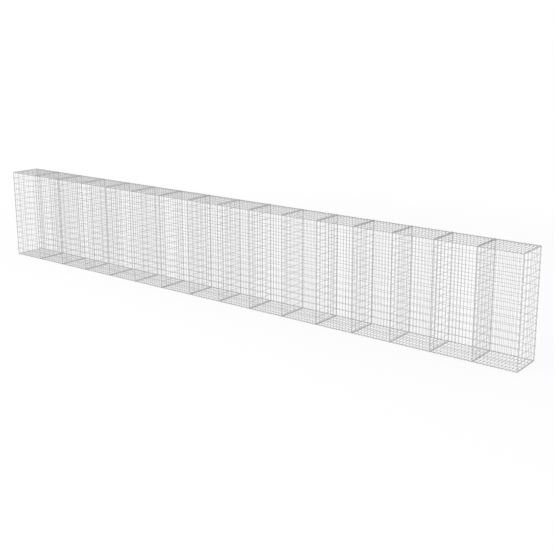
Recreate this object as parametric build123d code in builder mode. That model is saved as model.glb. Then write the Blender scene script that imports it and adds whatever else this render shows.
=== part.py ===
"""A free-standing gabion wall: empty welded-mesh baskets joined side by side in one straight row.

Millimetres. X runs along the wall, Y from the front to the back, and Z up from the ground.
A sheet of mesh is two layers of square wire, welded wherever a wire crosses the other layer.
A partition stands in each joint, between the edge wires of the sheets on either side of it.
Each cover lies loose on the walls of its bay and swings up about its outer edge at the back.
"""

import os

from build123d import *

# Wire and mesh
wire = 5.0
cell_along = 50.0
cell_deep = 102.0
cell_up = 100.0

# Cells of mesh in one bay
cells_along = 12
cells_deep = 5
cells_up = 15

# Bays, and how many of them one piece of each kind takes in
bays = 16
bays_per_wall = 2
bays_per_base = 4
partitions_per_set = 4

# Sizes that follow from the mesh
sheet = 2 * wire
sheet_width = cells_along * cell_along + wire
sheet_depth = cells_deep * cell_deep + wire
sheet_height = cells_up * cell_up + wire
bay_pitch = sheet_width + sheet
half_row = bays * bay_pitch / 2
wall_bottom = sheet
cover_bottom = wall_bottom + sheet_height
upside_down = (180, 0, 0)
turned_round = (0, 0, 180)


def joint_x(number):
    """The middle of a joint between bays; joint 0 is the left end of the row."""
    return number * bay_pitch - half_row


def bay_x(number):
    """The middle of a bay; bay 1 is at the left end of the row."""
    return (joint_x(number - 1) + joint_x(number)) / 2


# The sheet of a front or back: uprights outside, cross wires inside
with BuildPart() as wall_sheet:
    with BuildSketch(Plane.XY):
        with Locations((0, wire / 2)):
            with GridLocations(cell_along, wire, cells_along + 1, 1):
                Rectangle(wire, wire)
    extrude(amount=sheet_height)
    with BuildSketch(Plane.YZ.offset(-sheet_width / 2)):
        with Locations((sheet - wire / 2, sheet_height / 2)):
            with GridLocations(wire, cell_up, 1, cells_up + 1):
                Rectangle(wire, wire)
    extrude(amount=sheet_width)

# The sheet of a cover or base: long wires against the walls, cross wires away from them
with BuildPart() as cover_sheet:
    with BuildSketch(Plane.YZ.offset(-sheet_width / 2)):
        with Locations((0, wire / 2)):
            with GridLocations(cell_deep, wire, cells_deep + 1, 1):
                Rectangle(wire, wire)
    extrude(amount=sheet_width)
    with BuildSketch(Plane.XZ.offset(-sheet_depth / 2)):
        with Locations((0, sheet - wire / 2)):
            with GridLocations(cell_along, wire, cells_along + 1, 1):
                Rectangle(wire, wire)
    extrude(amount=sheet_depth)

# The sheet of an end or partition: uprights on its left face, cross wires on its right
with BuildPart() as partition_sheet:
    with BuildSketch(Plane.XY):
        with Locations((-wire / 2, 0)):
            with GridLocations(wire, cell_deep, 1, cells_deep + 1):
                Rectangle(wire, wire)
    extrude(amount=sheet_height)
    with BuildSketch(Plane.XZ.offset(-sheet_depth / 2)):
        with Locations((wire / 2, sheet_height / 2)):
            with GridLocations(wire, cell_up, 1, cells_up + 1):
                Rectangle(wire, wire)
    extrude(amount=sheet_depth)

os.makedirs("parts", exist_ok=True)


def runs(first, last, most):
    """The runs of whole numbers from first to last that hold at most so many each."""
    return [(start, min(start + most - 1, last)) for start in range(first, last + 1, most)]


for start, stop in runs(1, bays, bays_per_wall):
    numbers = range(start, stop + 1)

    with BuildPart() as front_panels:
        with Locations(*[(bay_x(n), -sheet_depth / 2, wall_bottom) for n in numbers]):
            add(wall_sheet.part)
    front_panels.part.label = f"front_panels_bays_{start}_{stop}"
    export_step(front_panels.part, f"parts/{front_panels.part.label}.step", write_pcurves=False)

    with BuildPart() as back_panels:
        with Locations(*[Location((bay_x(n), sheet_depth / 2, wall_bottom), turned_round) for n in numbers]):
            add(wall_sheet.part)
    back_panels.part.label = f"back_panels_bays_{start}_{stop}"
    export_step(back_panels.part, f"parts/{back_panels.part.label}.step", write_pcurves=False)

for start, stop in runs(1, bays, bays_per_base):
    numbers = range(start, stop + 1)

    with BuildPart() as bases:
        with Locations(*[Location((bay_x(n), 0, wall_bottom), upside_down) for n in numbers]):
            add(cover_sheet.part)
    bases.part.label = f"bases_bays_{start}_{stop}"
    export_step(bases.part, f"parts/{bases.part.label}.step", write_pcurves=False)

for number in range(1, bays + 1):
    with BuildPart() as cover:
        with Locations((bay_x(number), 0, cover_bottom)):
            add(cover_sheet.part)
    cover.part.label = f"cover_bay_{number}"
    export_step(cover.part, f"parts/{cover.part.label}.step", write_pcurves=False)

for start, stop in runs(1, bays - 1, partitions_per_set):
    numbers = range(start, stop + 1)

    with BuildPart() as partitions:
        with Locations(*[(joint_x(n), 0, wall_bottom) for n in numbers]):
            add(partition_sheet.part)
    partitions.part.label = f"partitions_{start}_to_{stop}"
    export_step(partitions.part, f"parts/{partitions.part.label}.step", write_pcurves=False)

with BuildPart() as left_end:
    with Locations((joint_x(0), 0, wall_bottom)):
        add(partition_sheet.part)
left_end.part.label = "left_end_panel"
export_step(left_end.part, "parts/left_end_panel.step", write_pcurves=False)

with BuildPart() as right_end:
    with Locations(Location((joint_x(bays), 0, wall_bottom), turned_round)):
        add(partition_sheet.part)
right_end.part.label = "right_end_panel"
export_step(right_end.part, "parts/right_end_panel.step", write_pcurves=False)
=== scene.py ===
"""A gabion wall of empty welded-mesh baskets in one straight row, in galvanised wire.

Metres. X runs along the wall, Y from the front to the back, and Z up from the ground.
Every sheet of mesh stands where the solids have it. Spiral binders and ring clips lace the sheets.
"""

import math

import bpy
from mathutils import Euler, Matrix, Vector


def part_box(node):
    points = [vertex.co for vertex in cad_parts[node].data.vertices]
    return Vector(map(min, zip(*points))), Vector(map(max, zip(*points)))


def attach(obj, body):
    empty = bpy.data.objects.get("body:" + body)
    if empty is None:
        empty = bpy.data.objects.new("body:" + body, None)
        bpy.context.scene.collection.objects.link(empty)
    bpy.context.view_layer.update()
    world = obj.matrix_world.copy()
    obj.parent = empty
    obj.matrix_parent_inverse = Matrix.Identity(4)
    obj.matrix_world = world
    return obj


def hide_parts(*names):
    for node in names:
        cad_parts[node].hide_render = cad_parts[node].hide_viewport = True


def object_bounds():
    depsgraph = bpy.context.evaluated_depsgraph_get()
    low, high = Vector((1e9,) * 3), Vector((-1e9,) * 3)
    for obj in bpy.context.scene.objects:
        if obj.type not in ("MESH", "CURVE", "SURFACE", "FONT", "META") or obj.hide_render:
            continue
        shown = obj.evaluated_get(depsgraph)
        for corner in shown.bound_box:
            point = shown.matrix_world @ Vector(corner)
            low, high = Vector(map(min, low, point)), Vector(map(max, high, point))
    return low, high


bl_info = {
    "name": "Gabion Wall",
    "version": (1, 0, 0),
    "blender": (4, 5, 0),
    "location": "View3D > Sidebar > Gabion Wall",
    "description": "Builds a row of empty welded-mesh gabion baskets in galvanised wire",
    "category": "Add Mesh",
}

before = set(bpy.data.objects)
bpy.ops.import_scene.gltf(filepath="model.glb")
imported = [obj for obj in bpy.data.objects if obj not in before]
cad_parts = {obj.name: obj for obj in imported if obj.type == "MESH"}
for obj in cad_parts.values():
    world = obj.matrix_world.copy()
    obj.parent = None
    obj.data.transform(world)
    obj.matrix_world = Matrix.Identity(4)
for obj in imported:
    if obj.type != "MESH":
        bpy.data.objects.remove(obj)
CAD_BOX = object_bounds()
BODY = "baskets"


def size_of(node):
    """A node's size along X, Y and Z."""
    low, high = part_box(node)
    return high - low


def middle_of(node):
    """The middle of a node's box."""
    low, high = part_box(node)
    return (low + high) / 2


# Sizes of the solids, from which the defaults follow
SHEET_WIDTH, SHEET_DEPTH, SHEET = size_of("cover_bay_1")
SHEET_HEIGHT = size_of("left_end_panel").z
WIRE = SHEET / 2
BAYS = sum(name.startswith("cover_bay_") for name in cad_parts)
BAY_PITCH = middle_of("cover_bay_2").x - middle_of("cover_bay_1").x
FIRST_BAY = middle_of("cover_bay_1").x
FIRST_JOINT = middle_of("left_end_panel").x
LAST_JOINT = middle_of("right_end_panel").x
WALL_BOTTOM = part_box("left_end_panel")[0].z
WALL_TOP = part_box("left_end_panel")[1].z
WALL_MIDDLE = (WALL_BOTTOM + WALL_TOP) / 2
WELD_PLANE = SHEET_DEPTH / 2 - WIRE
UPRIGHT_PLANE = SHEET_DEPTH / 2 - WIRE / 2

# Finer points of form
ROD_SEGMENTS = 3
RING_GAP = 0.5  # from the end of a wire to the ring of edges next to it, in radii
BEAD_SUBDIVISIONS = 1
BEAD_GROWTH = (0.85, 1.12)
SEEDS_PER_SHEET = 4
CLIP_TWIST = 0.5  # radians either way
SHORTFALL = 0.25  # how much shorter a spiral is than the edge that it laces, in turns

# Shares of the crystals, the clouds and the tone in the shade of the zinc
CRYSTAL_SHARE = 0.4
CLOUD_SHARE = 0.35
TONE_SHARE = 0.25

# Shares of the wire and of its sheet in the tone
WIRE_TONE_SHARE = 0.75
SHEET_TONE_SHARE = 0.25

# Finer points of the zinc
CLOUD_NOISE = {"Scale": 38.0, "Detail": 3.0, "Roughness": 0.6}
GRAIN_NOISE = {"Scale": 900.0, "Detail": 2.0}
GRAIN_BUMP = {"Strength": 0.25, "Distance": 0.0002}
BURN_STRENGTH = 1.1
BRIGHT_ROUGHNESS = 0.62
DULL_ROUGHNESS = 0.42
GLOSS_SMOOTHING = 0.12
BURN_ROUGHENING = 0.2

# Finer points of the stage
FLOOR_SIDES = 96
FLOOR_ROUGHNESS = 0.9
WORLD_LIGHT = 0.85
WHITE = 1.0
SENSOR_WIDTH = 36.0  # millimetres


class MeshSettings(bpy.types.PropertyGroup):
    """The welded mesh that every sheet is cut from."""

    wire: bpy.props.FloatProperty(
        name="Wire", description="Diameter of the mesh wire", default=WIRE, unit="LENGTH", precision=4)
    close_spacing: bpy.props.FloatProperty(
        name="Close Spacing", description="Spacing of the wires that are set along the wall",
        default=0.05, unit="LENGTH")
    wide_spacing: bpy.props.FloatProperty(
        name="Wide Spacing", description="Spacing of the wires that are set one above another",
        default=0.1, unit="LENGTH")
    deep_spacing: bpy.props.FloatProperty(
        name="Deep Spacing", description="Spacing of the wires that are set from the front to the back",
        default=0.102, unit="LENGTH")
    sides: bpy.props.IntProperty(
        name="Sides", description="Flat sides round one wire", default=10, min=6)
    bead: bpy.props.FloatProperty(
        name="Weld Bead", description="Radius of the bead where two wires are welded",
        default=0.0031, unit="LENGTH", precision=4)
    bead_flatness: bpy.props.FloatProperty(
        name="Bead Flatness", description="Thickness of a weld bead against its width",
        default=0.62, subtype="FACTOR", min=0.0, max=1.0)
    play: bpy.props.FloatProperty(
        name="Play", description="How far a wire may stray from its place in the sheet",
        default=0.0004, unit="LENGTH", precision=4)
    seed: bpy.props.IntProperty(
        name="Seed", description="Start of the stray places and tones of the wires", default=11)


class BinderSettings(bpy.types.PropertyGroup):
    """The spiral binders and ring clips that lace the sheets together."""

    wire: bpy.props.FloatProperty(
        name="Binder Wire", description="Diameter of the wire of a binder or clip",
        default=0.0035, unit="LENGTH", precision=4)
    hinge_pitch: bpy.props.FloatProperty(
        name="Hinge Pitch", description="Advance in one turn of the spirals that the covers swing on",
        default=0.05, unit="LENGTH")
    edge_pitch: bpy.props.FloatProperty(
        name="Edge Pitch",
        description="Advance in one turn of the spirals along the front, the ground and the corners",
        default=0.1, unit="LENGTH")
    joint_turns: bpy.props.IntProperty(
        name="Joint Turns", description="Turns in one cell of mesh of the spirals across the wall",
        default=4, min=1)
    edge_radius: bpy.props.FloatProperty(
        name="Edge Radius", description="Radius of the spirals along the front and the ground",
        default=0.008, unit="LENGTH", precision=4)
    hinge_radius: bpy.props.FloatProperty(
        name="Hinge Radius", description="Radius of the loose spirals that the covers swing on",
        default=0.0134, unit="LENGTH", precision=4)
    joint_radius: bpy.props.FloatProperty(
        name="Joint Radius", description="Radius of the spirals across the wall, over and under a partition",
        default=0.0134, unit="LENGTH", precision=4)
    end_radius: bpy.props.FloatProperty(
        name="End Radius", description="Radius of the spirals round the end panels",
        default=0.0101, unit="LENGTH", precision=4)
    clip_radius: bpy.props.FloatProperty(
        name="Clip Radius", description="Radius of the ring clips on the upright joints",
        default=0.0121, unit="LENGTH", precision=4)
    clip_spacing: bpy.props.FloatProperty(
        name="Clip Spacing", description="Height from one ring clip to the next", default=0.2, unit="LENGTH")
    clip_gap: bpy.props.FloatProperty(
        name="Clip Gap", description="Angle left open between the ends of a ring clip",
        default=math.radians(24), subtype="ANGLE")
    sides: bpy.props.IntProperty(
        name="Sides", description="Flat sides round a binder's wire", default=6, min=4)
    steps: bpy.props.IntProperty(
        name="Steps", description="Straight steps in one turn of a spiral", default=14, min=8)


class ZincSettings(bpy.types.PropertyGroup):
    """The zinc coating."""

    bright: bpy.props.FloatVectorProperty(
        name="Bright Zinc", description="Colour of a bright crystal of zinc", subtype="COLOR",
        default=(0.575, 0.57, 0.58), min=0.0, max=1.0)
    dull: bpy.props.FloatVectorProperty(
        name="Dull Zinc", description="Colour of a weathered crystal of zinc", subtype="COLOR",
        default=(0.395, 0.39, 0.40), min=0.0, max=1.0)
    burn: bpy.props.FloatVectorProperty(
        name="Weld Burn", description="Colour of the zinc at a weld", subtype="COLOR",
        default=(0.33, 0.325, 0.32), min=0.0, max=1.0)
    spangle: bpy.props.FloatProperty(
        name="Spangle", description="Width of one crystal of zinc", default=0.004, unit="LENGTH", precision=4)
    binder_lift: bpy.props.FloatProperty(
        name="Binder Lift", description="How much brighter the drawn wire of the binders is",
        default=0.1, subtype="FACTOR", min=0.0, max=1.0)


class StageSettings(bpy.types.PropertyGroup):
    """The floor, the lights and the camera."""

    floor_radius: bpy.props.FloatProperty(
        name="Floor Radius", description="Radius of the pale floor", default=60.0, unit="LENGTH")
    shadow_reach: bpy.props.FloatProperty(
        name="Shadow Reach",
        description="Distance from the wall's middle past which the floor is plain white",
        default=11.0, unit="LENGTH")
    shadow_share: bpy.props.FloatProperty(
        name="Shadow Share", description="How much of the shade on the floor is seen", default=0.2,
        subtype="FACTOR", min=0.0, max=1.0)
    floor_colour: bpy.props.FloatVectorProperty(
        name="Floor", description="Colour of the floor", subtype="COLOR", default=(0.95, 0.95, 0.95))
    key_power: bpy.props.FloatProperty(
        name="Key Light", description="Power of the large soft light", default=500.0, unit="POWER")
    key_size: bpy.props.FloatProperty(
        name="Key Size", description="Width of the large soft light", default=9.0, unit="LENGTH")
    key_place: bpy.props.FloatVectorProperty(
        name="Key Place", description="Where the large soft light hangs", subtype="TRANSLATION",
        default=(-4.0, -9.0, 9.0), unit="LENGTH")
    fill_power: bpy.props.FloatProperty(
        name="Fill Light", description="Power of the low light that the uprights catch",
        default=400.0, unit="POWER")
    fill_size: bpy.props.FloatProperty(
        name="Fill Size", description="Width of the low light", default=3.0, unit="LENGTH")
    fill_place: bpy.props.FloatVectorProperty(
        name="Fill Place", description="Where the low light stands", subtype="TRANSLATION",
        default=(8.0, -10.0, 0.8), unit="LENGTH")
    camera_place: bpy.props.FloatVectorProperty(
        name="Camera Place", description="Where the camera stands", subtype="TRANSLATION",
        default=(9.1758, -10.3601, 4.1841), unit="LENGTH")
    camera_heading: bpy.props.FloatProperty(
        name="Heading", description="Turn of the camera to its left from straight at the wall",
        default=math.radians(35.7428), subtype="ANGLE")
    camera_dip: bpy.props.FloatProperty(
        name="Dip", description="Angle that the camera looks down by", default=math.radians(13.0513),
        subtype="ANGLE")
    camera_roll: bpy.props.FloatProperty(
        name="Roll", description="Turn of the camera about its own line of sight",
        default=math.radians(0.4871), subtype="ANGLE")
    camera_lens: bpy.props.FloatProperty(
        name="Lens", description="Focal length for a sensor 36 mm wide", default=59.83, unit="CAMERA")
    camera_shift: bpy.props.FloatVectorProperty(
        name="Shift", description="Shift of the frame, in frame widths", size=2, default=(-0.0774, -0.0728))


# Node trees


def new_node(tree, kind, inputs=None, **settings):
    """A node with these settings, each input linked to a socket or set to a value."""
    node = tree.nodes.new(kind)
    for name, value in settings.items():
        setattr(node, name, value)
    for identifier, value in (inputs or {}).items():
        socket = next(s for s in node.inputs if s.identifier == identifier)
        if isinstance(value, bpy.types.NodeSocket):
            tree.links.new(value, socket)
        else:
            socket.default_value = value
    return node


def result_of(node):
    """The output that a node's settings leave in use."""
    return next(socket for socket in node.outputs if socket.enabled)


def maths(tree, operation, first, second):
    """The result of a Math node on two sockets or numbers."""
    inputs = {"Value": first, "Value_001": second}
    return new_node(tree, "ShaderNodeMath", inputs, operation=operation).outputs["Value"]


def span_of(tree, count, spacing):
    """The distance from the first to the last of so many evenly spaced things."""
    return maths(tree, "MULTIPLY", maths(tree, "SUBTRACT", count, 1.0), spacing)


def vector_of(tree, x=0.0, y=0.0, z=0.0):
    """A vector from three sockets or numbers."""
    return new_node(tree, "ShaderNodeCombineXYZ", {"X": x, "Y": y, "Z": z}).outputs["Vector"]


def new_geometry_tree(name, inputs):
    """A geometry node tree with named inputs, and the sockets that they come in by."""
    tree = bpy.data.node_groups.new(name, "GeometryNodeTree")
    tree.interface.new_socket("Geometry", in_out="OUTPUT", socket_type="NodeSocketGeometry")
    for label, kind in inputs.items():
        tree.interface.new_socket(label, in_out="INPUT", socket_type=f"NodeSocket{kind}")
    return tree, new_node(tree, "NodeGroupInput").outputs


def finish_geometry_tree(tree, geometry, material):
    """Ends a tree with plain geometry in one material."""
    plain = new_node(tree, "GeometryNodeRealizeInstances", {"Geometry": geometry}).outputs["Geometry"]
    inputs = {"Geometry": plain, "Material": material}
    dressed = new_node(tree, "GeometryNodeSetMaterial", inputs).outputs["Geometry"]
    end = tree.nodes.new("NodeGroupOutput")
    tree.links.new(dressed, end.inputs["Geometry"])
    return tree


def random_number(tree, least, most, seed):
    """A number of its own for each point or instance."""
    inputs = {"Min_001": least, "Max_001": most, "Seed": seed}
    return result_of(new_node(tree, "FunctionNodeRandomValue", inputs))


def random_tone(tree, instances, attribute, seed):
    """Gives each instance a tone from 0 to 1 of its own, kept under the attribute's name."""
    tone = random_number(tree, 0.0, 1.0, seed)
    inputs = {"Geometry": instances, "Name": attribute, "Value": tone}
    store = new_node(tree, "GeometryNodeStoreNamedAttribute", inputs, data_type="FLOAT", domain="INSTANCE")
    return store.outputs["Geometry"]


def rod(tree, given, radius, length):
    """One straight wire about its middle, upright.

    A ring of edges close to each end keeps the flat cap from bending the sides' normals along the wire.
    The rings are made a third of the way in from the ends and slid outwards.
    """
    inputs = {"Vertices": given["Sides"], "Side Segments": ROD_SEGMENTS, "Radius": radius, "Depth": length}
    cylinder = new_node(tree, "GeometryNodeMeshCylinder", inputs)
    inputs = {"Geometry": cylinder.outputs["Mesh"], "Selection": cylinder.outputs["Side"]}
    smooth = new_node(tree, "GeometryNodeSetShadeSmooth", inputs).outputs["Geometry"]

    position = new_node(tree, "GeometryNodeInputPosition").outputs["Position"]
    height = new_node(tree, "ShaderNodeSeparateXYZ", {"Vector": position}).outputs["Z"]
    segment = maths(tree, "DIVIDE", length, ROD_SEGMENTS)
    inner = maths(tree, "LESS_THAN", maths(tree, "ABSOLUTE", height, 0.0), segment)
    slide = maths(tree, "SUBTRACT", segment, maths(tree, "MULTIPLY", radius, RING_GAP))
    offset = vector_of(tree, z=maths(tree, "MULTIPLY", slide, maths(tree, "SIGN", height, 0.0)))
    inputs = {"Geometry": smooth, "Selection": inner, "Offset": offset}
    return new_node(tree, "GeometryNodeSetPosition", inputs).outputs["Geometry"]


def wire_row(tree, given, count, spacing, length, layer, lie, seed):
    """A row of straight wires spaced evenly about the middle of the sheet, on one of its two layers.

    The wires are made upright on their ends and laid down by lie, an angle about X or Y. layer is 1 for
    the upper layer and -1 for the lower.
    """
    radius = maths(tree, "DIVIDE", given["Wire"], 2.0)
    laid = new_node(
        tree, "GeometryNodeTransform", {"Geometry": rod(tree, given, radius, length), "Rotation": lie},
    ).outputs["Geometry"]

    along_x = lie[0] != 0.0
    start = maths(tree, "DIVIDE", span_of(tree, count, spacing), -2.0)
    height = maths(tree, "MULTIPLY", radius, layer)
    first = vector_of(tree, x=start, z=height) if along_x else vector_of(tree, y=start, z=height)
    step = vector_of(tree, x=spacing) if along_x else vector_of(tree, y=spacing)
    inputs = {"Count": count, "Start Location": first, "Offset": step}
    places = new_node(tree, "GeometryNodeMeshLine", inputs).outputs["Mesh"]

    most = vector_of(tree, x=given["Play"], y=given["Play"])
    inputs = {"Vector": most, "Scale": -1.0}
    least = new_node(tree, "ShaderNodeVectorMath", inputs, operation="SCALE").outputs["Vector"]
    inputs = {"Min": least, "Max": most, "Seed": seed}
    stray = result_of(new_node(tree, "FunctionNodeRandomValue", data_type="FLOAT_VECTOR", inputs=inputs))
    inputs = {"Geometry": places, "Offset": stray}
    strayed = new_node(tree, "GeometryNodeSetPosition", inputs).outputs["Geometry"]
    inputs = {"Points": strayed, "Instance": laid}
    wires = new_node(tree, "GeometryNodeInstanceOnPoints", inputs).outputs["Instances"]
    return random_tone(tree, wires, "wire_tone", seed)


def weld_beads(tree, given, seed):
    """A small flat bead at every crossing of the two layers."""
    inputs = {"Radius": given["Bead"], "Subdivisions": BEAD_SUBDIVISIONS}
    ball = new_node(tree, "GeometryNodeMeshIcoSphere", inputs).outputs["Mesh"]
    smooth = new_node(tree, "GeometryNodeSetShadeSmooth", {"Geometry": ball}).outputs["Geometry"]
    inputs = {"Geometry": smooth, "Scale": vector_of(tree, 1.0, 1.0, given["Bead Flatness"])}
    bead = new_node(tree, "GeometryNodeTransform", inputs).outputs["Geometry"]

    inputs = {
        "Size X": span_of(tree, given["Uprights"], given["Upright Spacing"]),
        "Size Y": span_of(tree, given["Cross Wires"], given["Cross Spacing"]),
        "Vertices X": given["Uprights"],
        "Vertices Y": given["Cross Wires"],
    }
    crossings = new_node(tree, "GeometryNodeMeshGrid", inputs).outputs["Mesh"]
    growth = random_number(tree, *BEAD_GROWTH, seed)
    inputs = {"Points": crossings, "Instance": bead, "Scale": growth}
    beads = new_node(tree, "GeometryNodeInstanceOnPoints", inputs).outputs["Instances"]
    inputs = {"Geometry": beads, "Name": "weld", "Value": 1.0}
    marked = new_node(tree, "GeometryNodeStoreNamedAttribute", inputs, data_type="FLOAT", domain="INSTANCE")
    return random_tone(tree, marked.outputs["Geometry"], "wire_tone", seed)


def welded_sheets_tree():
    """Like sheets of welded mesh in a row along X.

    A sheet lies flat about its middle, with its uprights along Y above and its cross wires along X below,
    and is turned before it is placed.
    """
    tree, given = new_geometry_tree("Welded sheets", {
        "Uprights": "Int", "Upright Spacing": "Float", "Upright Length": "Float",
        "Cross Wires": "Int", "Cross Spacing": "Float", "Cross Length": "Float",
        "Wire": "Float", "Sides": "Int", "Bead": "Float", "Bead Flatness": "Float",
        "Play": "Float", "Seed": "Int",
        "First Sheet": "Vector", "Turn": "Vector", "Sheets": "Int", "Sheet Pitch": "Float",
        "Material": "Material",
    })
    seeds = [maths(tree, "ADD", given["Seed"], number) for number in range(SEEDS_PER_SHEET)]
    uprights = wire_row(
        tree, given, given["Uprights"], given["Upright Spacing"], given["Upright Length"],
        layer=1.0, lie=(math.radians(90), 0.0, 0.0), seed=seeds[0])
    cross_wires = wire_row(
        tree, given, given["Cross Wires"], given["Cross Spacing"], given["Cross Length"],
        layer=-1.0, lie=(0.0, math.radians(90), 0.0), seed=seeds[1])
    joined = new_node(tree, "GeometryNodeJoinGeometry")
    for pieces in (uprights, cross_wires, weld_beads(tree, given, seeds[2])):
        tree.links.new(pieces, joined.inputs["Geometry"])
    inputs = {"Geometry": joined.outputs["Geometry"]}
    sheet = new_node(tree, "GeometryNodeRealizeInstances", inputs).outputs["Geometry"]

    inputs = {
        "Count": given["Sheets"],
        "Start Location": given["First Sheet"],
        "Offset": vector_of(tree, x=given["Sheet Pitch"]),
    }
    places = new_node(tree, "GeometryNodeMeshLine", inputs).outputs["Mesh"]
    turn = new_node(tree, "FunctionNodeEulerToRotation", {"Euler": given["Turn"]}).outputs["Rotation"]
    inputs = {"Points": places, "Instance": sheet, "Rotation": turn}
    sheets = new_node(tree, "GeometryNodeInstanceOnPoints", inputs).outputs["Instances"]
    toned = random_tone(tree, sheets, "sheet_tone", seeds[3])
    return finish_geometry_tree(tree, toned, given["Material"])


def swept_wire(tree, given, curve):
    """A round wire along a curve."""
    inputs = {"Resolution": given["Sides"], "Radius": maths(tree, "DIVIDE", given["Wire"], 2.0)}
    profile = new_node(tree, "GeometryNodeCurvePrimitiveCircle", inputs).outputs["Curve"]
    inputs = {"Curve": curve, "Profile Curve": profile, "Fill Caps": True}
    mesh = new_node(tree, "GeometryNodeCurveToMesh", inputs).outputs["Mesh"]
    return new_node(tree, "GeometryNodeSetShadeSmooth", {"Geometry": mesh}).outputs["Geometry"]


def spiral_binders_tree():
    """Like spirals in a row along X, each about its own middle, where it stands at the angle called phase."""
    tree, given = new_geometry_tree("Spiral binders", {
        "Length": "Float", "Pitch": "Float", "Radius": "Float", "Phase": "Float",
        "Wire": "Float", "Sides": "Int", "Steps": "Int", "Seed": "Int",
        "First Middle": "Vector", "Turn": "Vector", "Count": "Int", "Spacing": "Float",
        "Material": "Material",
    })
    turns = maths(tree, "DIVIDE", given["Length"], given["Pitch"])
    inputs = {
        "Resolution": given["Steps"], "Rotations": turns, "Start Radius": given["Radius"],
        "End Radius": given["Radius"], "Height": given["Length"], "Reverse": True,
    }
    spiral = new_node(tree, "GeometryNodeCurveSpiral", inputs).outputs["Curve"]
    half_way = maths(tree, "MULTIPLY", turns, math.pi)
    inputs = {
        "Geometry": swept_wire(tree, given, spiral),
        "Translation": vector_of(tree, z=maths(tree, "DIVIDE", given["Length"], -2.0)),
        "Rotation": vector_of(tree, z=maths(tree, "SUBTRACT", given["Phase"], half_way)),
    }
    binder = new_node(tree, "GeometryNodeTransform", inputs).outputs["Geometry"]

    inputs = {
        "Count": given["Count"],
        "Start Location": given["First Middle"],
        "Offset": vector_of(tree, x=given["Spacing"]),
    }
    places = new_node(tree, "GeometryNodeMeshLine", inputs).outputs["Mesh"]
    turn = new_node(tree, "FunctionNodeEulerToRotation", {"Euler": given["Turn"]}).outputs["Rotation"]
    inputs = {"Points": places, "Instance": binder, "Rotation": turn}
    binders = new_node(tree, "GeometryNodeInstanceOnPoints", inputs).outputs["Instances"]
    toned = random_tone(tree, binders, "wire_tone", given["Seed"])
    return finish_geometry_tree(tree, toned, given["Material"])


def ring_clips_tree():
    """Open rings that lie level, in columns up the joints, each turned a little at random."""
    tree, given = new_geometry_tree("Ring clips", {
        "Radius": "Float", "Gap": "Float", "Wire": "Float", "Sides": "Int", "Steps": "Int", "Seed": "Int",
        "First": "Vector", "Joints": "Int", "Joint Pitch": "Float", "Rows": "Int", "Row Spacing": "Float",
        "Facing": "Float", "Material": "Material",
    })
    sweep = maths(tree, "SUBTRACT", 2 * math.pi, given["Gap"])
    inputs = {"Resolution": given["Steps"], "Radius": given["Radius"], "Sweep Angle": sweep}
    arc = new_node(tree, "GeometryNodeCurveArc", inputs).outputs["Curve"]
    ring = swept_wire(tree, given, arc)

    inputs = {"Count": given["Rows"], "Offset": vector_of(tree, z=given["Row Spacing"])}
    column = new_node(tree, "GeometryNodeMeshLine", inputs).outputs["Mesh"]
    inputs = {
        "Count": given["Joints"], "Start Location": given["First"],
        "Offset": vector_of(tree, x=given["Joint Pitch"]),
    }
    joints = new_node(tree, "GeometryNodeMeshLine", inputs).outputs["Mesh"]
    inputs = {"Points": joints, "Instance": column}
    columns = new_node(tree, "GeometryNodeInstanceOnPoints", inputs).outputs["Instances"]
    places = new_node(tree, "GeometryNodeRealizeInstances", {"Geometry": columns}).outputs["Geometry"]

    twist = random_number(tree, -CLIP_TWIST, CLIP_TWIST, given["Seed"])
    euler = vector_of(tree, z=maths(tree, "ADD", given["Facing"], twist))
    turn = new_node(tree, "FunctionNodeEulerToRotation", {"Euler": euler}).outputs["Rotation"]
    inputs = {"Points": places, "Instance": ring, "Rotation": turn}
    rings = new_node(tree, "GeometryNodeInstanceOnPoints", inputs).outputs["Instances"]
    toned = random_tone(tree, rings, "wire_tone", given["Seed"])
    return finish_geometry_tree(tree, toned, given["Material"])


def tree_named(name, build):
    """The geometry tree of that name, built the first time that it is asked for."""
    return bpy.data.node_groups.get(name) or build()


def grow(name, tree, values):
    """An object whose plain mesh is what the tree makes of these values."""
    seed_mesh = bpy.data.meshes.new(f"{name}_seed")
    grown = bpy.data.objects.new(f"{name}_seed", seed_mesh)
    bpy.context.scene.collection.objects.link(grown)
    modifier = grown.modifiers.new("Nodes", "NODES")
    modifier.node_group = tree
    sockets = {item.name: item.identifier for item in tree.interface.items_tree if item.in_out == "INPUT"}
    for label, value in values.items():
        modifier[sockets[label]] = value
    evaluated = grown.evaluated_get(bpy.context.evaluated_depsgraph_get())
    mesh = bpy.data.meshes.new_from_object(evaluated)
    if not mesh.polygons:
        raise RuntimeError(f"the tree made no faces for {name}")
    bpy.data.objects.remove(grown)
    bpy.data.meshes.remove(seed_mesh)
    mesh.name = name
    piece = bpy.data.objects.new(name, mesh)
    bpy.context.scene.collection.objects.link(piece)
    return piece


# Finishes


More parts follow.
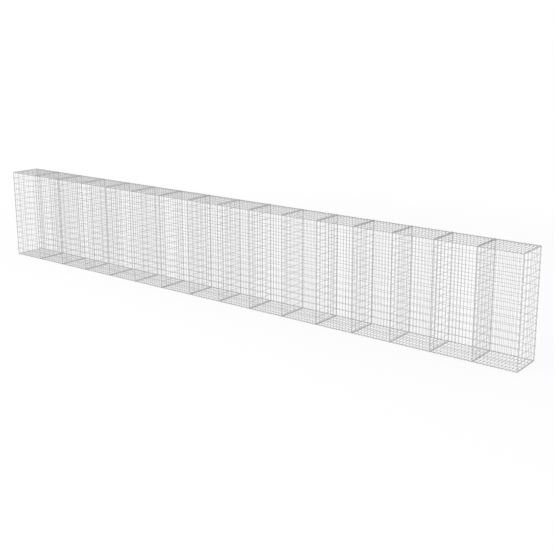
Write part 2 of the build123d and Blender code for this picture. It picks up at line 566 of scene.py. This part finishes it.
def zinc_group():
    """Spangled zinc: crystals and clouds between a bright and a dull tone, with burn at the welds."""
    group = bpy.data.node_groups.get("Spangled zinc")
    if group:
        return group
    group = bpy.data.node_groups.new("Spangled zinc", "ShaderNodeTree")
    for label, kind in {
        "Bright": "Color", "Dull": "Color", "Burn": "Color", "Spangle": "Float",
        "Tone": "Float", "Weld": "Float", "Gloss": "Float",
    }.items():
        group.interface.new_socket(label, in_out="INPUT", socket_type=f"NodeSocket{kind}")
    for label, kind in {"Colour": "Color", "Roughness": "Float", "Height": "Float"}.items():
        group.interface.new_socket(label, in_out="OUTPUT", socket_type=f"NodeSocket{kind}")
    given = new_node(group, "NodeGroupInput").outputs
    place = new_node(group, "ShaderNodeTexCoord").outputs["Object"]

    crystals_per_metre = maths(group, "DIVIDE", 1.0, given["Spangle"])
    inputs = {"Vector": place, "Scale": crystals_per_metre}
    crystals = new_node(group, "ShaderNodeTexVoronoi", inputs).outputs["Color"]
    crystal = new_node(group, "ShaderNodeSeparateColor", {"Color": crystals}).outputs["Red"]
    cloud = new_node(group, "ShaderNodeTexNoise", {"Vector": place, **CLOUD_NOISE}).outputs["Fac"]
    grain = new_node(group, "ShaderNodeTexNoise", {"Vector": place, **GRAIN_NOISE}).outputs["Fac"]

    shade = maths(group, "MULTIPLY", crystal, CRYSTAL_SHARE)
    shade = maths(group, "ADD", shade, maths(group, "MULTIPLY", cloud, CLOUD_SHARE))
    shade = maths(group, "ADD", shade, maths(group, "MULTIPLY", given["Tone"], TONE_SHARE))
    inputs = {"Factor_Float": shade, "A_Color": given["Bright"], "B_Color": given["Dull"]}
    zinc = result_of(new_node(group, "ShaderNodeMix", inputs, data_type="RGBA"))
    burnt = maths(group, "MULTIPLY", given["Weld"], maths(group, "MULTIPLY", grain, BURN_STRENGTH))
    inputs = {"Factor_Float": burnt, "A_Color": zinc, "B_Color": given["Burn"]}
    colour = result_of(new_node(group, "ShaderNodeMix", inputs, data_type="RGBA"))

    inputs = {"Value": crystal, "To Min": BRIGHT_ROUGHNESS, "To Max": DULL_ROUGHNESS}
    roughness = new_node(group, "ShaderNodeMapRange", inputs).outputs["Result"]
    smoothing = maths(group, "MULTIPLY", given["Gloss"], GLOSS_SMOOTHING)
    roughness = maths(group, "SUBTRACT", roughness, smoothing)
    roughness = maths(group, "ADD", roughness, maths(group, "MULTIPLY", burnt, BURN_ROUGHENING))
    end = group.nodes.new("NodeGroupOutput")
    group.links.new(colour, end.inputs["Colour"])
    group.links.new(roughness, end.inputs["Roughness"])
    group.links.new(grain, end.inputs["Height"])
    return group


def zinc_material(name, lift, gloss):
    """Galvanised wire, its bright tone lifted towards white by a share, and its dull tone by half as much."""
    material = bpy.data.materials.get(name)
    if material:
        return material
    zinc = bpy.context.scene.gabion_zinc
    material = bpy.data.materials.new(name)
    material.use_nodes = True
    tree = material.node_tree
    shader = tree.nodes["Principled BSDF"]
    wire_tone = new_node(tree, "ShaderNodeAttribute", attribute_name="wire_tone").outputs["Fac"]
    sheet_tone = new_node(tree, "ShaderNodeAttribute", attribute_name="sheet_tone").outputs["Fac"]
    weld = new_node(tree, "ShaderNodeAttribute", attribute_name="weld").outputs["Fac"]
    from_wire = maths(tree, "MULTIPLY", wire_tone, WIRE_TONE_SHARE)
    from_sheet = maths(tree, "MULTIPLY", sheet_tone, SHEET_TONE_SHARE)
    tone = maths(tree, "ADD", from_wire, from_sheet)
    coating = new_node(tree, "ShaderNodeGroup", node_tree=zinc_group())
    coating.inputs["Bright"].default_value = [c + (1 - c) * lift for c in zinc.bright] + [1.0]
    coating.inputs["Dull"].default_value = [c + (1 - c) * lift / 2 for c in zinc.dull] + [1.0]
    coating.inputs["Burn"].default_value = [*zinc.burn, 1.0]
    coating.inputs["Spangle"].default_value = zinc.spangle
    coating.inputs["Gloss"].default_value = gloss
    tree.links.new(tone, coating.inputs["Tone"])
    tree.links.new(weld, coating.inputs["Weld"])
    inputs = {"Height": coating.outputs["Height"], **GRAIN_BUMP}
    bump = new_node(tree, "ShaderNodeBump", inputs).outputs["Normal"]
    shader.inputs["Metallic"].default_value = 1.0
    tree.links.new(coating.outputs["Colour"], shader.inputs["Base Color"])
    tree.links.new(coating.outputs["Roughness"], shader.inputs["Roughness"])
    tree.links.new(bump, shader.inputs["Normal"])
    return material


def mesh_zinc():
    """The zinc of the welded mesh."""
    return zinc_material("galvanised_mesh", lift=0.0, gloss=0.0)


def binder_zinc():
    """The smoother, brighter zinc of the binders' drawn wire."""
    return zinc_material("galvanised_binder", lift=bpy.context.scene.gabion_zinc.binder_lift, gloss=1.0)


# Pieces


def nodes_named(start):
    """The solids whose names begin so, in order along the wall."""
    return sorted((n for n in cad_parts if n.startswith(start)), key=lambda n: middle_of(n).x)


def wires_in(length, spacing):
    """How many wires a sheet has across a side of that length."""
    mesh = bpy.context.scene.gabion_mesh
    return round((length - mesh.wire) / spacing) + 1


def dress_sheets(node, body, turn, across, up, across_spacing, up_spacing, thickness):
    """Replaces a node with its sheets of round wire; across and up are a sheet's own two sides.

    thickness is how much of the node's length along X a single sheet takes.
    """
    mesh = bpy.context.scene.gabion_mesh
    low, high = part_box(node)
    sheets = round((high.x - low.x - thickness) / BAY_PITCH) + 1
    first = (low + high) / 2
    first.x = low.x + thickness / 2
    piece = grow(f"{node}_mesh", tree_named("Welded sheets", welded_sheets_tree), {
        "Uprights": wires_in(across, across_spacing),
        "Upright Spacing": across_spacing,
        "Upright Length": up,
        "Cross Wires": wires_in(up, up_spacing),
        "Cross Spacing": up_spacing,
        "Cross Length": across,
        "Wire": mesh.wire,
        "Sides": mesh.sides,
        "Bead": mesh.bead,
        "Bead Flatness": mesh.bead_flatness,
        "Play": mesh.play,
        "Seed": mesh.seed + round(first.x / BAY_PITCH) * SEEDS_PER_SHEET,
        "First Sheet": first,
        "Turn": [math.radians(angle) for angle in turn],
        "Sheets": sheets,
        "Sheet Pitch": BAY_PITCH,
        "Material": mesh_zinc(),
    })
    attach(piece, body)
    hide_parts(node)


def lay_binders(name, length, pitch, radius, phase, first, turn, count):
    """Spiral binders of one kind, a bay apart, from the middle of the first."""
    binder = bpy.context.scene.gabion_binders
    piece = grow(name, tree_named("Spiral binders", spiral_binders_tree), {
        "Length": length,
        "Pitch": pitch,
        "Radius": radius,
        "Phase": math.radians(phase),
        "Wire": binder.wire,
        "Sides": binder.sides,
        "Steps": binder.steps,
        "Seed": bpy.context.scene.gabion_mesh.seed,
        "First Middle": first,
        "Turn": [math.radians(angle) for angle in turn],
        "Count": count,
        "Spacing": BAY_PITCH,
        "Material": binder_zinc(),
    })
    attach(piece, BODY)


class GABION_OT_walls(bpy.types.Operator):
    """Make the front and back panels, with their uprights outside."""

    bl_idname = "gabion.walls"
    bl_label = "Front and Back Panels"

    def execute(self, context):
        mesh = context.scene.gabion_mesh
        for start, turn in (("front_panels", (90, 0, 0)), ("back_panels", (90, 0, 180))):
            for node in nodes_named(start):
                dress_sheets(
                    node, BODY, turn, SHEET_WIDTH, SHEET_HEIGHT,
                    mesh.close_spacing, mesh.wide_spacing, SHEET_WIDTH)
        return {"FINISHED"}


class GABION_OT_bases(bpy.types.Operator):
    """Make the bases, with their cross wires on the ground."""

    bl_idname = "gabion.bases"
    bl_label = "Bases"

    def execute(self, context):
        mesh = context.scene.gabion_mesh
        for node in nodes_named("bases"):
            dress_sheets(
                node, BODY, (180, 0, 0), SHEET_WIDTH, SHEET_DEPTH,
                mesh.close_spacing, mesh.deep_spacing, SHEET_WIDTH)
        return {"FINISHED"}


class GABION_OT_covers(bpy.types.Operator):
    """Make the covers, each on a body of its own, as each cover swings up by itself."""

    bl_idname = "gabion.covers"
    bl_label = "Covers"

    def execute(self, context):
        mesh = context.scene.gabion_mesh
        for number, node in enumerate(nodes_named("cover_bay"), start=1):
            dress_sheets(
                node, f"cover_{number}", (0, 0, 0), SHEET_WIDTH, SHEET_DEPTH,
                mesh.close_spacing, mesh.deep_spacing, SHEET_WIDTH)
        return {"FINISHED"}


class GABION_OT_partitions(bpy.types.Operator):
    """Make the partitions in the joints and the two end panels."""

    bl_idname = "gabion.partitions"
    bl_label = "Partitions and Ends"

    def execute(self, context):
        mesh = context.scene.gabion_mesh
        uprights_left, uprights_right = (90, 0, -90), (90, 0, 90)
        for start, turn in (
            ("partitions", uprights_left), ("left_end", uprights_left), ("right_end", uprights_right),
        ):
            for node in nodes_named(start):
                dress_sheets(
                    node, BODY, turn, SHEET_DEPTH, SHEET_HEIGHT,
                    mesh.deep_spacing, mesh.wide_spacing, SHEET)
        return {"FINISHED"}


class GABION_OT_long_binders(bpy.types.Operator):
    """Lace the long edges: fronts and backs to their bases and covers."""

    bl_idname = "gabion.long_binders"
    bl_label = "Long Binders"

    def execute(self, context):
        binder = context.scene.gabion_binders
        length = SHEET_WIDTH - SHORTFALL * binder.hinge_pitch
        along_wall = (90, 0, 90)
        # The phase steers each spiral past the wires that it meets; 0 is to the back and 90 is up
        for name, side, height, pitch, radius, phase in (
            ("top_front_binders", -1, WALL_TOP, binder.edge_pitch, binder.edge_radius, -15),
            ("hinge_binders", 1, WALL_TOP, binder.hinge_pitch, binder.hinge_radius, 210),
            ("bottom_front_binders", -1, WALL_BOTTOM, binder.edge_pitch, binder.edge_radius, 15),
            ("bottom_back_binders", 1, WALL_BOTTOM, binder.edge_pitch, binder.edge_radius, 165),
        ):
            first = (FIRST_BAY, side * WELD_PLANE, height)
            lay_binders(name, length, pitch, radius, phase, first, along_wall, BAYS)
        return {"FINISHED"}


class GABION_OT_cross_binders(bpy.types.Operator):
    """Lace the side edges of the covers and bases to the partitions and to the end panels."""

    bl_idname = "gabion.cross_binders"
    bl_label = "Cross Binders"

    def execute(self, context):
        binder = context.scene.gabion_binders
        across_wall = (90, 0, 0)
        # With an even number of turns to a cell, each spiral is outermost where it passes a long wire
        pitch = context.scene.gabion_mesh.deep_spacing / binder.joint_turns
        length = SHEET_DEPTH - SHORTFALL * pitch
        for level, height, phase in (
            ("top", WALL_TOP + WIRE / 2, 90), ("bottom", WALL_BOTTOM - WIRE / 2, -90),
        ):
            first = (FIRST_JOINT + BAY_PITCH, 0, height)
            lay_binders(
                f"{level}_cross_binders", length, pitch, binder.joint_radius, phase, first,
                across_wall, BAYS - 1)
            for end, joint, inward in (("left", FIRST_JOINT, 1), ("right", LAST_JOINT, -1)):
                first = (joint + inward * WIRE, 0, height)
                lay_binders(
                    f"{level}_{end}_end_binder", length, pitch, binder.end_radius, phase, first,
                    across_wall, 1)
        return {"FINISHED"}


class GABION_OT_corner_binders(bpy.types.Operator):
    """Lace the end panels to the front and back panels up the four corners."""

    bl_idname = "gabion.corner_binders"
    bl_label = "Corner Binders"

    def execute(self, context):
        binder = context.scene.gabion_binders
        length = SHEET_HEIGHT - SHORTFALL * binder.edge_pitch
        # The phase turns each spiral inwards midway between two level wires, and so outwards where it
        # passes one; 0 is to the right and 90 is to the back
        for end, joint, inward, phases in (
            ("left", FIRST_JOINT, 1, (65, 295)), ("right", LAST_JOINT, -1, (115, 245)),
        ):
            for face, side, phase in (("front", -1, phases[0]), ("back", 1, phases[1])):
                first = (joint + inward * WIRE / 2, side * UPRIGHT_PLANE, WALL_MIDDLE)
                lay_binders(
                    f"{end}_{face}_corner_binder", length, binder.edge_pitch, binder.end_radius, phase, first,
                    (0, 0, 0), 1)
        return {"FINISHED"}


class GABION_OT_ring_clips(bpy.types.Operator):
    """Clip the uprights together in each joint, front and back."""

    bl_idname = "gabion.ring_clips"
    bl_label = "Ring Clips"

    def execute(self, context):
        binder = context.scene.gabion_binders
        mesh = context.scene.gabion_mesh
        rows = math.floor(SHEET_HEIGHT / binder.clip_spacing)
        lowest = WALL_MIDDLE - (rows - 1) * binder.clip_spacing / 2
        # The lowest clip goes half a cell above a level wire, and the rest follow it
        above_wires = WALL_BOTTOM + mesh.wire / 2 + mesh.wide_spacing / 2
        lowest = above_wires + round((lowest - above_wires) / mesh.wide_spacing) * mesh.wide_spacing
        for face, side in (("front", -1), ("back", 1)):
            piece = grow(f"{face}_ring_clips", tree_named("Ring clips", ring_clips_tree), {
                "Radius": binder.clip_radius,
                "Gap": binder.clip_gap,
                "Wire": binder.wire,
                "Sides": binder.sides,
                "Steps": binder.steps,
                "Seed": mesh.seed,
                "First": (FIRST_JOINT + BAY_PITCH, side * UPRIGHT_PLANE, lowest),
                "Joints": BAYS - 1,
                "Joint Pitch": BAY_PITCH,
                "Rows": rows,
                "Row Spacing": binder.clip_spacing,
                "Facing": -side * math.pi / 2,
                "Material": binder_zinc(),
            })
            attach(piece, BODY)
        return {"FINISHED"}


# Stage


def light_path_share(tree):
    """1 for what the camera sees directly, in metal or through glass, and 0 for the rest."""
    path = new_node(tree, "ShaderNodeLightPath").outputs
    seen = maths(tree, "MAXIMUM", path["Is Camera Ray"], path["Is Glossy Ray"])
    return maths(tree, "MAXIMUM", seen, path["Is Transmission Ray"])


def floor_material(stage):
    """A pale floor that looks white and keeps a share of the object's shadow near it."""
    material = bpy.data.materials.new("pale_floor")
    material.use_nodes = True
    tree = material.node_tree
    shader = tree.nodes["Principled BSDF"]
    shader.inputs["Base Color"].default_value = [*stage.floor_colour, 1.0]
    shader.inputs["Roughness"].default_value = FLOOR_ROUGHNESS
    shader.inputs["Specular IOR Level"].default_value = 0.0
    place = new_node(tree, "ShaderNodeTexCoord").outputs["Object"]
    distance = new_node(tree, "ShaderNodeVectorMath", {"Vector": place}, operation="LENGTH").outputs["Value"]
    inputs = {
        "Value": distance, "From Min": stage.shadow_reach / 2, "From Max": stage.shadow_reach,
        "To Min": 1.0 - stage.shadow_share, "To Max": 1.0,
    }
    whiteness = new_node(tree, "ShaderNodeMapRange", inputs, interpolation_type="SMOOTHSTEP")
    white = new_node(tree, "ShaderNodeEmission", {"Strength": WHITE}).outputs["Emission"]
    share = maths(tree, "MULTIPLY", light_path_share(tree), whiteness.outputs["Result"])
    inputs = {"Fac": share, "Shader": shader.outputs["BSDF"], "Shader_001": white}
    mixed = new_node(tree, "ShaderNodeMixShader", inputs).outputs["Shader"]
    tree.links.new(mixed, tree.nodes["Material Output"].inputs["Surface"])
    return material


class GABION_OT_stage(bpy.types.Operator):
    """Make the floor, the lights and the camera."""

    bl_idname = "gabion.stage"
    bl_label = "Stage"

    def execute(self, context):
        stage = context.scene.gabion_stage
        self.make_floor(context, stage)
        self.make_light(context, stage)
        self.make_camera(context, stage)
        context.scene.view_settings.view_transform = "Standard"
        return {"FINISHED"}

    def make_floor(self, context, stage):
        bpy.ops.mesh.primitive_circle_add(vertices=FLOOR_SIDES, radius=stage.floor_radius, fill_type="NGON")
        floor = context.object
        floor.name = "floor"
        floor.data.transform(Matrix.Translation((0, 0, CAD_BOX[0].z)))
        floor.data.materials.append(floor_material(stage))

    def make_light(self, context, stage):
        world = bpy.data.worlds.new("studio")
        world.use_nodes = True
        context.scene.world = world
        background = world.node_tree.nodes["Background"]
        background.inputs["Color"].default_value = (1.0, 1.0, 1.0, 1.0)
        seen = light_path_share(world.node_tree)
        inputs = {"Value": seen, "To Min": WORLD_LIGHT, "To Max": WHITE}
        strength = new_node(world.node_tree, "ShaderNodeMapRange", inputs).outputs["Result"]
        world.node_tree.links.new(strength, background.inputs["Strength"])

        self.make_lamp(context, "key_light", stage.key_power, stage.key_size, stage.key_place)
        self.make_lamp(context, "fill_light", stage.fill_power, stage.fill_size, stage.fill_place)

    def make_lamp(self, context, name, power, size, place):
        light = bpy.data.lights.new(name, "AREA")
        light.energy = power
        light.size = size
        lamp = bpy.data.objects.new(name, light)
        lamp.location = place
        aim = Vector((0, 0, WALL_MIDDLE)) - lamp.location
        lamp.rotation_euler = aim.to_track_quat("-Z", "Y").to_euler()
        context.scene.collection.objects.link(lamp)

    def make_camera(self, context, stage):
        lens = bpy.data.cameras.new("camera")
        lens.sensor_width = SENSOR_WIDTH
        lens.lens = stage.camera_lens
        lens.shift_x, lens.shift_y = stage.camera_shift
        lens.clip_end = 2 * stage.floor_radius
        camera = bpy.data.objects.new("camera", lens)
        aim = Euler((math.pi / 2 - stage.camera_dip, 0, stage.camera_heading)).to_matrix()
        turn = aim @ Matrix.Rotation(stage.camera_roll, 3, "Z")
        camera.matrix_world = Matrix.Translation(stage.camera_place) @ turn.to_4x4()
        context.scene.collection.objects.link(camera)
        context.scene.camera = camera


# Panel and registration


class GABION_PT_sidebar(bpy.types.Panel):
    """The steps of the wall and the sizes that a user would change."""

    bl_idname = "GABION_PT_sidebar"
    bl_label = "Gabion Wall"
    bl_space_type = "VIEW_3D"
    bl_region_type = "UI"
    bl_category = "Gabion Wall"

    def draw(self, context):
        for operator in OPERATORS:
            self.layout.operator(operator.bl_idname)
        for name, group in SETTINGS.items():
            box = self.layout.box()
            box.label(text=group.__doc__)
            for prop in group.__annotations__:
                box.prop(getattr(context.scene, name), prop)


SETTINGS = {
    "gabion_mesh": MeshSettings,
    "gabion_binders": BinderSettings,
    "gabion_zinc": ZincSettings,
    "gabion_stage": StageSettings,
}
OPERATORS = (
    GABION_OT_walls,
    GABION_OT_bases,
    GABION_OT_covers,
    GABION_OT_partitions,
    GABION_OT_long_binders,
    GABION_OT_cross_binders,
    GABION_OT_corner_binders,
    GABION_OT_ring_clips,
    GABION_OT_stage,
)


def register():
    for group in SETTINGS.values():
        bpy.utils.register_class(group)
    for operator in OPERATORS:
        bpy.utils.register_class(operator)
    bpy.utils.register_class(GABION_PT_sidebar)
    for name, group in SETTINGS.items():
        setattr(bpy.types.Scene, name, bpy.props.PointerProperty(type=group))


def unregister():
    for name in SETTINGS:
        delattr(bpy.types.Scene, name)
    bpy.utils.unregister_class(GABION_PT_sidebar)
    for operator in reversed(OPERATORS):
        bpy.utils.unregister_class(operator)
    for group in reversed(SETTINGS.values()):
        bpy.utils.unregister_class(group)


def main():
    """Builds the wall and the stage."""
    register()
    bpy.ops.gabion.walls()
    bpy.ops.gabion.bases()
    bpy.ops.gabion.covers()
    bpy.ops.gabion.partitions()
    bpy.ops.gabion.long_binders()
    bpy.ops.gabion.cross_binders()
    bpy.ops.gabion.corner_binders()
    bpy.ops.gabion.ring_clips()
    bpy.ops.gabion.stage()


if __name__ == "__main__":
    main()
